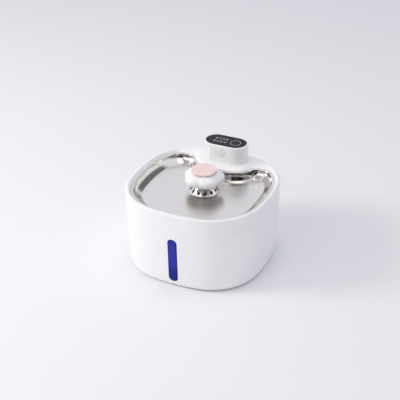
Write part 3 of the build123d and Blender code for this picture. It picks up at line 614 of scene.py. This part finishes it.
def makeCover():
    wall = housing["wall"]
    gap = trayForm["gap"]
    bm = bmesh.new()
    outer = []
    for turn in quarter(4):
        inset = housing["seamRound"] * (1 - math.sin(turn))
        z = seamZ + housing["seamRound"] * (1 - math.cos(turn))
        outer.append(drawLoop(bm, housingPath(inset), z))
    outer.append(drawLoop(bm, housingPath(0), (seamZ + deckZ) / 2))
    for turn in quarter(8):
        inset = housing["deckRound"] * (1 - math.cos(turn))
        z = deckZ - housing["deckRound"] * (1 - math.sin(turn))
        outer.append(drawLoop(bm, housingPath(inset), z))
    skin(bm, outer)
    # down the white slope: share of its width, share of its fall
    soft = coverForm["slopeSoft"]
    slope = ((1.0, 0.03), (1 - soft, 0.09), (0.5, 0.5), (2 * soft, 0.88), (soft, 0.95), (0.02, 1.03))
    inner = [drawLoop(bm, slopePath(1 + soft), deckZ)]
    for share, fall in slope:
        inner.append(drawLoop(bm, slopePath(share), deckZ - fall * (deckZ - lipZ)))
    ledge = lipZ - sheet
    ledgeFoot = ledge - coverForm["ledgeThick"]
    inner.append(drawLoop(bm, trayPath(0), lipZ - gap))
    inner.append(drawLoop(bm, trayPath(0), ledge))
    inner.append(drawLoop(bm, trayPath(trayForm["ledgeWidth"]), ledge))
    inner.append(drawLoop(bm, trayPath(trayForm["ledgeWidth"]), ledgeFoot))
    skin(bm, inner)
    join(bm, outer[-1], inner[0])
    # underside, down the inner wall to the register that drops inside the tank
    register = wall + gap + lean(seamZ - 2 * wall)
    under = [drawLoop(bm, housingPath(wall), ledgeFoot)]
    for inset, z in ((wall, seamZ + wall), (register + wall, seamZ + wall),
                     (register + wall, seamZ - 2 * wall), (register, seamZ - 2 * wall),
                     (register, seamZ)):
        under.append(drawLoop(bm, housingPath(inset), z))
    skin(bm, under + [outer[0]])
    join(bm, inner[-1], under[0])
    cover = finishMesh("topCover", bm, glossAbs)
    well = bmesh.new()
    radius = towerRadius - coverForm["wellInset"]
    ends = (ledge - coverForm["wellBelow"], deckZ + coverForm["wellAbove"])
    walls = [drawLoop(well, towerPath(radius), z) for z in ends]
    skin(well, walls)
    cap(well, walls[0])
    cap(well, walls[1])
    cutAway(cover, finishMesh("wellCutter", well, glossAbs))
    weighNormals(cover)
    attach(cover, "cover")
    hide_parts("top_cover")


# drinking tray

boss = {                          # raised collar round the flower's neck
    "baseRadius": 20 * mm,
    "topRadius": 13 * mm,
    "height": 7.5 * mm,
    "footBlend": 1.2 * mm,
    "footRise": 0.25 * mm,
    "rimRound": 1.2 * mm,
    "rimSteps": 4,
    "bore": 9.3 * mm,
    "holes": 12,
    "holeRadius": 2.1 * mm,
    "holeSides": 20,
    "cutDepth": 8 * mm,
}


def curve(start, pull, end, steps):
    # points of a quadratic curve after its start
    shares = [index / steps for index in range(1, steps + 1)]
    return [tuple((1 - s) ** 2 * a + 2 * s * (1 - s) * b + s ** 2 * c
                  for a, b, c in zip(start, pull, end)) for s in shares]


def wallStations():
    # run and height down the tray's wall, from below its lip to the flat floor
    form = trayForm
    floorZ = lipZ - form["depth"]
    start = (0.0, lipZ - form["bend"])
    knee = (form["kneeRun"], start[1] - form["kneeDrop"])
    fall = math.tan(form["slope"])
    corner = (knee[0] + (knee[1] - floorZ) / fall, floorZ)
    turn = form["floorRound"]
    low = (corner[0] - turn * math.cos(form["slope"]), floorZ + turn * math.sin(form["slope"]))
    upper = curve(start, (0.0, knee[1] + form["kneeRun"] * fall), knee, 8)
    middle = ((knee[0] + low[0]) / 2, (knee[1] + low[1]) / 2)
    return upper + [middle, low] + curve(low, corner, (corner[0] + turn, floorZ), 6)


def bossStations():
    # radius and height up the collar, over its rim and in to the bore
    base, crest, height = boss["baseRadius"], boss["topRadius"], boss["height"]
    flare = [(base + boss["footBlend"], 0.0), (base, boss["footRise"])]
    for share in (0.15, 0.4, 0.65, 0.85):
        flare.append((base + share * (crest - base), share * height))
    for turn in quarter(boss["rimSteps"]):
        drop = boss["rimRound"] * (1 - math.sin(turn) ** 0.5)
        flare.append((crest - boss["rimRound"] * math.sin(turn), height - drop))
    return flare + [(boss["bore"], height)]


def makeTray():
    form = trayForm
    bm = bmesh.new()
    floorZ = lipZ - form["depth"]
    bowl = form["ledgeWidth"] + form["gap"] + sheet
    loops = [drawLoop(bm, trayPath(form["gap"]), lipZ - sheet)]
    for turn in quarter(4):
        inset = form["gap"] + 0.5 * sheet * (1 - math.cos(turn))
        loops.append(drawLoop(bm, trayPath(inset), lipZ - 0.5 * sheet * (1 - math.sin(turn))))
    # the lip turns down into the wall, which sweeps out into the flat floor
    bend = form["bend"]
    for turn in quarter(6):
        inset = bowl - bend + bend * math.sin(turn)
        loops.append(drawLoop(bm, trayPath(inset), lipZ - bend * (1 - math.cos(turn))))
    for out, z in wallStations():
        loops.append(drawLoop(bm, trayPath(bowl, out), z))
    flare = bossStations()
    rise = [drawCircle(bm, radius, floorZ + z) for radius, z in flare]
    rise.append(drawCircle(bm, boss["bore"], floorZ + boss["height"] - sheet))
    skin(bm, loops)
    skin(bm, rise)
    join(bm, loops[-1], rise[0])
    # underside, a sheet's thickness below and without the rim's round
    slant = flare[:-boss["rimSteps"] - 1]
    below = [drawCircle(bm, radius - sheet, floorZ + z - sheet) for radius, z in reversed(slant)]
    skin(bm, [rise[-1]] + below)
    under = []
    for out, z in reversed(wallStations()):
        under.append(drawLoop(bm, trayPath(bowl - sheet, out), z - sheet))
    under.append(drawLoop(bm, trayPath(bowl - sheet), lipZ - sheet))
    skin(bm, under + [loops[0]])
    join(bm, below[-1], under[0])
    tray = finishMesh("drinkingTray", bm, steel)
    holes = bmesh.new()
    reach = (boss["baseRadius"] + boss["topRadius"]) / 2
    place = Matrix.Translation((0, flowerY, floorZ + boss["height"] / 2))
    lay = Matrix.Translation((reach, 0, 0)) @ Matrix.Rotation(math.pi / 2, 4, "Y")
    for index in range(boss["holes"]):
        turn = Matrix.Rotation(full * index / boss["holes"], 4, "Z")
        bmesh.ops.create_cone(holes, cap_ends=True, segments=boss["holeSides"],
                              radius1=boss["holeRadius"], radius2=boss["holeRadius"],
                              depth=boss["cutDepth"], matrix=place @ turn @ lay)
    cutAway(tray, finishMesh("holeCutter", holes, steel))
    weighNormals(tray)
    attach(tray, "tray")
    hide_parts("drinking_tray")


# flower spout

flower = {
    "petals": 5,
    "turn": math.radians(-46),    # direction of the first petal, towards the front right
}

capForm = {
    "radius": 16.8 * mm,          # of one petal
    "offset": 10.3 * mm,          # petal's middle from the flower's
    "soft": 0.35,                 # how far the creases between petals are eased
    "segments": 200,
    "sharpAngle": 38,
    "rise": 9.6 * mm,
    "edge": 5.6 * mm,
    "skirt": 4.4 * mm,
    "wall": 2 * mm,
    "centreZ": lipZ + 8.5 * mm,
    "edgeSteps": 10,
    "domeSteps": 13,
    "openSteps": 5,               # last steps of the dome, left open for the crown
    "neck": 9 * mm,
    "flange": 12 * mm,            # rests on the tray's collar
    "flangeLift": 0.05 * mm,
    "flangeEdge": 1.2 * mm,
    "flangeThick": 1.6 * mm,
}

plateForm = {
    "radius": 12 * mm,
    "offset": 5.2 * mm,
    "soft": 0.3,
    "segments": 160,
    "sharpAngle": 40,
    "top": top("flower_centre")[2] + 2 * mm,
    "thick": 2 * mm,
    "round": 0.8 * mm,
    # share of the plate's size, dip of its face
    "dips": ((0.75, 0.0), (0.5, 0.12 * mm), (0.25, 0.22 * mm), (0.08, 0.25 * mm)),
    "stemTop": 5.2 * mm,
    "stemFoot": 5 * mm,
}


def lobedRadius(angle, offset, radius, soft):
    # distance from the flower's axis to the edge of five overlapping discs, eased where they meet
    step = full / flower["petals"]
    away = (angle - flower["turn"] + step / 2) % step - step / 2
    away += soft * (step / 2 * math.sin(math.pi * away / step) - away)
    return offset * math.cos(away) + math.sqrt(max(radius ** 2 - (offset * math.sin(away)) ** 2, 0))


def drawLobes(bm, form, radius, height, share=1.0):
    def reshape(angle):
        return share * lobedRadius(angle, form["offset"], radius, form["soft"])
    return drawCircle(bm, form["radius"], height, form["segments"], reshape=reshape)


def petalStations(depth):
    # radius and height of one petal's section, from its foot to its crown
    edge = capForm["edge"] - depth
    rise = capForm["rise"] - depth
    reach = capForm["radius"] - capForm["edge"]
    dome = (reach ** 2 + rise ** 2 - edge ** 2) / (2 * (rise - edge))
    tilt = math.atan2(reach, dome - rise)
    foot = -math.asin(min(capForm["skirt"] / edge, 0.98))    # the inner wall can't reach so low
    points = []
    for index in range(capForm["edgeSteps"] + 1):
        angle = foot + (math.pi / 2 - tilt - foot) * index / capForm["edgeSteps"]
        points.append((reach + edge * math.cos(angle), edge * math.sin(angle)))
    for index in range(1, capForm["domeSteps"] - capForm["openSteps"] + 1):
        angle = tilt * (1 - index / capForm["domeSteps"])
        points.append((dome * math.sin(angle), rise - dome + dome * math.cos(angle)))
    return points


def makeFlowerCap():
    form = capForm
    centreZ, neckRadius, flange = form["centreZ"], form["neck"], form["flange"]
    bm = bmesh.new()
    face, back = petalStations(0), petalStations(form["wall"])
    outer = [drawLobes(bm, form, radius, centreZ + z) for radius, z in face]
    inner = [drawLobes(bm, form, radius, centreZ + z) for radius, z in back]
    skin(bm, list(reversed(inner)) + outer)
    # flat crown under the pink plate, open over the riser tube
    bore = top("riser_tube")[0]
    foot = bottom("flower_cap")[2]
    ring = drawCircle(bm, bore, centreZ + face[-1][1], form["segments"])
    join(bm, outer[-1], ring)
    collarZ = lipZ - trayForm["depth"] + boss["height"]
    neck = [ring]
    for radius, z in ((bore, foot), (neckRadius, foot), (neckRadius, collarZ - form["flangeLift"]),
                      (flange, collarZ), (flange, collarZ + form["flangeEdge"]),
                      (neckRadius, collarZ + form["flangeThick"]),
                      (neckRadius, centreZ + back[-1][1])):
        neck.append(drawCircle(bm, radius, z, form["segments"]))
    skin(bm, neck)
    join(bm, neck[-1], inner[-1])
    blossom = finishMesh("flowerCap", bm, glossAbs, form["sharpAngle"])
    weighNormals(blossom)
    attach(blossom, "flower")
    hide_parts("flower_cap")


def makeFlowerCentre():
    form = plateForm
    size, high = form["radius"], form["top"]
    foot = high - form["thick"]
    bm = bmesh.new()
    loops = []
    for inset, rise in ((0.5 * mm, 0), (0.15 * mm, 0.15 * mm), (0, 0.5 * mm)):
        loops.append(drawLobes(bm, form, size - inset, foot + rise))
    for turn in quarter(5):
        inset = form["round"] * (1 - math.cos(turn))
        loops.append(drawLobes(bm, form, size - inset, high - form["round"] * (1 - math.sin(turn))))
    for share, dip in form["dips"]:
        loops.append(drawLobes(bm, form, size, high - dip, share))
    skin(bm, loops)
    cap(bm, loops[-1])
    stem = [loops[0], drawCircle(bm, form["stemTop"], foot, form["segments"])]
    stem.append(drawCircle(bm, form["stemFoot"], bottom("flower_centre")[2], form["segments"]))
    skin(bm, stem)
    cap(bm, stem[-1])
    centre = finishMesh("flowerCentre", bm, pinkAbs, form["sharpAngle"])
    weighNormals(centre)
    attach(centre, "flower")
    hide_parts("flower_centre")


# control tower

tower = {
    "round": 1.2 * mm,
    "bezel": 2.3 * mm,
    "recess": 2 * mm,
    "shoulder": 3.5 * mm,         # the part below the deck is this much slimmer all round
    "wall": 2 * mm,
    "footRound": 0.3 * mm,
    "lensRadius": 6.1 * mm,
    "lensDrop": 10.5 * mm,
    "lensDepth": 2 * mm,
    "lensSides": 72,
    # openings in the rear: gap all round, depth of the cut, corner radius
    "flapPocket": (0.3 * mm, 2.4 * mm, 2.3 * mm),
    "portSlot": (0.1 * mm, 14 * mm, 1.6 * mm),
}


def cutRear(shell, node, gap, depth, radius):
    # an opening in the tower's rear face for the node that fills it
    low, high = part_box(node)
    centre = (0, towerY + towerRadius, (low[2] + high[2]) / 2)
    width = high[0] - low[0] + 2 * gap
    height = high[2] - low[2] + 2 * gap
    cutAway(shell, roundedCutter("rearCutter", width, height, depth, radius, centre))


def makeTower():
    form = tower
    bm = bmesh.new()
    lowZ = bottom("module_shell")[2]
    slim = towerRadius - form["shoulder"]
    inside = slim - form["wall"]
    stations = [(inside, lowZ), (slim, lowZ), (slim, deckZ), (towerRadius - form["footRound"], deckZ),
                (towerRadius, deckZ + form["footRound"]), (towerRadius, (deckZ + towerTop) / 2)]
    for turn in quarter(6):
        stations.append((towerRadius - form["round"] * (1 - math.cos(turn)),
                         towerTop - form["round"] * (1 - math.sin(turn))))
    stations += [(towerRadius - form["bezel"], towerTop),
                 (towerRadius - form["bezel"], towerTop - form["recess"]),
                 (inside, towerTop - form["recess"])]
    skin(bm, [drawLoop(bm, towerPath(radius), z) for radius, z in stations], closed=True)
    shell = finishMesh("towerShell", bm, glossAbs)
    dimple = bmesh.new()
    place = Matrix.Translation((0, towerY - towerRadius, towerTop - form["lensDrop"]))
    bmesh.ops.create_cone(dimple, cap_ends=True, segments=form["lensSides"],
                          radius1=form["lensRadius"], radius2=form["lensRadius"],
                          depth=form["lensDepth"],
                          matrix=place @ Matrix.Rotation(math.pi / 2, 4, "X"))
    cutAway(shell, finishMesh("dimpleCutter", dimple, glossAbs))
    cutRear(shell, "port_flap", *form["flapPocket"])
    cutRear(shell, "usb_port", *form["portSlot"])
    weighNormals(shell)
    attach(shell, "module")
    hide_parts("module_shell")


panelForm = {
    "gap": 0.1 * mm,
    "round": 0.35 * mm,
}


def makePanel():
    bm = bmesh.new()
    low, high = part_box("display_panel")
    radius = towerRadius - tower["bezel"] - panelForm["gap"]
    loops = [drawLoop(bm, towerPath(radius), low[2])]
    for turn in quarter(4):
        inset = panelForm["round"] * (1 - math.cos(turn))
        z = high[2] - panelForm["round"] * (1 - math.sin(turn))
        loops.append(drawLoop(bm, towerPath(radius - inset), z))
    skin(bm, loops)
    cap(bm, loops[0])
    cap(bm, loops[-1])
    panel = finishMesh("displayPanel", bm, panelGlass)
    weighNormals(panel)
    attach(panel, "module")
    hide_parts("display_panel")


line = 0.55 * mm                  # stroke of the display's marks

marks = {
    "lift": 0.04 * mm,            # print's underside, above the panel
    "thick": 0.06 * mm,
    "ringRadius": 7.2 * mm,
    "ringWidth": 0.6 * mm,
    "ringSteps": 72,
    "ringX": 13.5 * mm,
    "rowX": -15.3 * mm,
    "rowStep": 5 * mm,
    "digitY": 4.4 * mm,
    "digitHalf": (1.1 * mm, 1.8 * mm),
    "digitTall": 3.6 * mm,
    "digitWide": 1.7 * mm,
    "iconY": -3.9 * mm,
    # four plain symbols; rings: x, y, radius, start, turn; bars: x, y, width, height, angle
    "icons": [
        {"rings": [(0, 0, 1.9 * mm, 0, full)],
         "bars": [(0, 1.1 * mm, line, 1.8 * mm, 0)]},
        {"rings": [(0, -0.4 * mm, 1.5 * mm, 0.85 * math.pi, 1.3 * math.pi)],
         "bars": [(-0.62 * mm, 0.85 * mm, line, 1.9 * mm, -0.6),
                  (0.62 * mm, 0.85 * mm, line, 1.9 * mm, 0.6)]},
        {"rings": [(0, 0, 1.9 * mm, 0.3 * math.pi, 1.2 * math.pi), (0, 0, 0.9 * mm, 0, full)],
         "bars": []},
        {"rings": [],
         "bars": [(0, -1.3 * mm, 3.6 * mm, line, 0), (0, 1.3 * mm, 3.6 * mm, line, 0),
                  (-1.6 * mm, 0, line, 2.6 * mm, 0), (1.6 * mm, 0, line, 2.6 * mm, 0),
                  (0, 0, 1.6 * mm, 1.1 * mm, 0)]},
    ],
}


def flatRing(bm, x, y, outer, inner, z, start=0.0, turn=full, steps=40):
    # a flat annulus, or a stretch of one
    ends = [bm.verts.new((x + radius * math.cos(start), y + radius * math.sin(start), z))
            for radius in (inner, outer)]
    edge = bm.edges.new(ends)
    bmesh.ops.spin(bm, geom=ends + [edge], cent=(x, y, z), axis=(0, 0, 1), angle=turn,
                   steps=steps, use_merge=turn >= full, use_duplicate=False)


def flatBar(bm, x, y, width, height, z, angle=0.0):
    turn = Matrix.Rotation(angle, 4, "Z") @ Matrix.Diagonal((width, height, 1, 1))
    place = Matrix.Translation((x, y, z)) @ turn
    bmesh.ops.create_grid(bm, x_segments=1, y_segments=1, size=0.5, matrix=place)


def makeMarks():
    m = marks
    z = top("display_panel")[2] + m["lift"]
    bm = bmesh.new()
    flatRing(bm, m["ringX"], towerY, m["ringRadius"], m["ringRadius"] - m["ringWidth"], z,
             steps=m["ringSteps"])
    halfWide, halfTall = m["digitHalf"]
    for index, icon in enumerate(m["icons"]):
        x = m["rowX"] + index * m["rowStep"]
        # a segment figure of the display, and a plain symbol below it
        y = towerY + m["digitY"]
        for side in (-1, 1):
            flatBar(bm, x + side * halfWide, y, line, m["digitTall"], z)
        for level in (-1, 0, 1):
            if (index + level) % 3 != 1 or level:
                flatBar(bm, x, y + level * halfTall, m["digitWide"], line, z)
        y = towerY + m["iconY"]
        for offX, offY, radius, start, turn in icon["rings"]:
            flatRing(bm, x + offX, y + offY, radius, radius - line, z, start, turn)
        for offX, offY, width, height, angle in icon["bars"]:
            flatBar(bm, x + offX, y + offY, width, height, z, angle)
    raised = bmesh.ops.extrude_face_region(bm, geom=bm.faces[:])
    lifted = [item for item in raised["geom"] if isinstance(item, bmesh.types.BMVert)]
    bmesh.ops.translate(bm, verts=lifted, vec=(0, 0, m["thick"]))
    printed = finishMesh("displayMarks", bm, markLight)
    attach(printed, "module")


lensForm = {
    "bulge": 0.7 * mm,
    "rim": 0.3 * mm,
    "slack": 0.1 * mm,            # smaller than the solid, to clear its dimple
    "segments": 72,
}


def makeLens():
    low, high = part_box("sensor_lens")
    bulge, slack = lensForm["bulge"], lensForm["slack"]
    radius = (high[0] - low[0]) / 2
    front = low[1]
    stations = [(radius - slack, high[1]), (radius - slack, front + bulge + lensForm["rim"])]
    stations.append((radius - slack, front + bulge))
    for share in (0.96, 0.88, 0.75, 0.55, 0.3, 0.08):
        stations.append((radius * share, front + bulge * share ** 2))
    bm = bmesh.new()
    loops = [drawCircle(bm, reach, depth, lensForm["segments"], y=0.0) for reach, depth in stations]
    skin(bm, loops)
    cap(bm, loops[0])
    cap(bm, loops[-1])
    # turned to face the front
    place = Matrix.Translation((0, 0, (low[2] + high[2]) / 2))
    bmesh.ops.transform(bm, matrix=place @ Matrix.Rotation(-math.pi / 2, 4, "X"), verts=bm.verts[:])
    lens = finishMesh("sensorLens", bm, milkyLens)
    weighNormals(lens)
    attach(lens, "module")
    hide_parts("sensor_lens")


# pieces that keep the frame's own shape

finishes = {
    "level_window": windowPaintedGlow, "window_seal": silicone, "rubber_feet": footRubber,
    "riser_tube": clearTube, "filter_stand": satinPp, "filter_case": satinPp, "filter_media": fibre,
    "pump_housing": pottedGrey, "pump_cover": pottedGrey, "pump_light": lampBlue,
    "impeller": rotorWhite, "rotor_magnet": ferrite, "rotor_shaft": ceramic, "shaft_bushes": silicone,
    "intake_sponge": foam, "suction_cups": silicone, "pump_lead": leadJacket,
    "lead_gland": leadJacket, "lead_plug": leadJacket, "module_base": satinPp,
    "base_seal": silicone, "module_screws": drawnWire, "lead_socket": pottedGrey,
    "battery_frame": guideWhite, "battery_cells": cellWrap, "circuit_board": board,
    "indicator_leds": lampAmber, "light_guide": guideWhite, "touch_spring": drawnWire,
    "motion_sensor": sensorCan, "usb_port": drawnWire, "port_flap": flapRubber,
}

nodeAngle = 28                    # degrees; crisper than the new pieces


def dressNode(node, material):
    # a smoothed copy of a carried-over piece in its own finish
    source = frame["nodes"][node]
    bm = bmesh.new()
    bm.from_mesh(source.data)
    bmesh.ops.remove_doubles(bm, verts=bm.verts[:], dist=weldGap)
    mesh = bpy.data.meshes.new(node + "Smooth")
    bm.to_mesh(mesh)
    bm.free()
    mesh.materials.clear()
    mesh.materials.append(material)
    mesh.shade_smooth()
    mesh.set_sharp_from_angle(angle=math.radians(nodeAngle))
    piece = bpy.data.objects.new(node + "Smooth", mesh)
    bpy.context.scene.collection.objects.link(piece)
    weighNormals(piece)
    bodies = frame["record"]["behaviour"]["bodies"]
    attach(piece, [name for name, nodes in bodies.items() if node in nodes][0])
    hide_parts(node)


makeTank()
makeCover()
makeTray()
print("tank, cover and tray built")
makeFlowerCap()
makeFlowerCentre()
makeTower()
makePanel()
makeMarks()
makeLens()
print("flower and tower built")
for nodeName, nodeFinish in finishes.items():
    dressNode(nodeName, nodeFinish)
print("inner pieces dressed")


# floor, light and camera

studio = {
    "floorColour": "#f9fafd",
    "floorSize": 12.0,
    "lampColour": "#fffaf0",
    # each lamp's place, diameter and power
    "lamps": {
        "keyLight": ((-1.35, -0.75, 0.95), 0.6, 11),
        "topLight": ((0.1, 0.1, 1.6), 0.8, 2.9),
        "frontLight": ((-0.5, -1.0, 1.2), 1.0, 2.3),
    },
    "lampAim": (0, 0, 0.06),
    "worldColour": "#f5f6ff",
    "worldLevel": 0.605,
    "backdropLevel": 1.05,        # what metal and gloss mirror
    # darker parts of the room: direction, cosines of the soft edge, level
    "darkParts": [
        ((0.166, 0.78, 0.595), 0.945, 0.985, 0.2),       # unlit wall behind
        ((-0.15, 0.98, 0.09), 0.95, 0.985, 0.35),        # and down to the horizon
        ((0.354, -0.784, 0.509), 0.8, 0.9, 0.05),        # where the viewer stands
        ((0.78, -0.375, 0.5), 0.86, 0.94, 0.25),         # and to each side
        ((-0.234, -0.83, 0.5), 0.88, 0.95, 0.25),
        ((-0.15, 0, 0.99), 0.9, 0.96, 0.5),              # bare ceiling
    ],
}


def makeFloor():
    bm = bmesh.new()
    bmesh.ops.create_grid(bm, x_segments=1, y_segments=1, size=studio["floorSize"])
    floor = finishMesh("floor", bm, newMaterial("paleFloor", studio["floorColour"], 0.9)[0])


def addLamp(name, place, size, power):
    light = bpy.data.lights.new(name, "AREA")
    light.shape = "DISK"
    light.size = size
    light.energy = power
    light.color = toLinear(studio["lampColour"])[:3]
    lamp = bpy.data.objects.new(name, light)
    bpy.context.scene.collection.objects.link(lamp)
    lamp.location = place
    aim = Vector(studio["lampAim"]) - Vector(place)
    lamp.rotation_euler = aim.to_track_quat("-Z", "Y").to_euler()


def makeLight():
    for name, (place, size, power) in studio["lamps"].items():
        addLamp(name, place, size, power)
    world = bpy.data.worlds.new("studio")
    bpy.context.scene.world = world
    world.use_nodes = True
    tree = world.node_tree
    background = tree.nodes["Background"]
    background.inputs["Color"].default_value = toLinear(studio["worldColour"])
    # mirrors see a lit backdrop with darker parts of the room in it
    place = addNode(tree, "ShaderNodeTexCoord")
    lit = addNode(tree, "ShaderNodeValue")
    lit.outputs["Value"].default_value = studio["backdropLevel"]
    for around, low, high, depth in studio["darkParts"]:
        near = addNode(tree, "ShaderNodeVectorMath",
                       {"operation": "DOT_PRODUCT", 1: Vector(around).normalized()},
                       {0: place.outputs["Generated"]})
        shade = addNode(tree, "ShaderNodeMapRange",
                        {"From Min": low, "From Max": high, "To Min": 1.0, "To Max": depth},
                        {"Value": near.outputs["Value"]})
        lit = addNode(tree, "ShaderNodeMath", {"operation": "MULTIPLY"},
                      {0: lit.outputs[0], 1: shade.outputs["Result"]})
    path = addNode(tree, "ShaderNodeLightPath")
    level = addNode(tree, "ShaderNodeMix", {2: studio["worldLevel"]},
                    {0: path.outputs["Is Glossy Ray"], 3: lit.outputs[0]})
    tree.links.new(level.outputs[0], background.inputs["Strength"])


camera = {
    "place": (0.4692, -1.0299, 0.7355),
    "right": (0.90867, 0.41752, -0.00093),
    "up": (-0.2086, 0.4559, 0.86524),
    "lens": 89.85,
    "sensor": 36,
    "sightEnd": 50,
}


def makeCamera():
    data = bpy.data.cameras.new("camera")
    data.sensor_width = camera["sensor"]
    data.lens = camera["lens"]
    data.clip_end = camera["sightEnd"]
    eye = bpy.data.objects.new("camera", data)
    bpy.context.scene.collection.objects.link(eye)
    right = Vector(camera["right"]).normalized()
    up = Vector(camera["up"]).normalized()
    turn = Matrix((right, up, right.cross(up))).transposed()
    eye.matrix_world = Matrix.Translation(camera["place"]) @ turn.to_4x4()
    bpy.context.scene.camera = eye


makeFloor()
makeLight()
makeCamera()
bpy.context.scene.view_settings.view_transform = "Standard"
print("studio set")
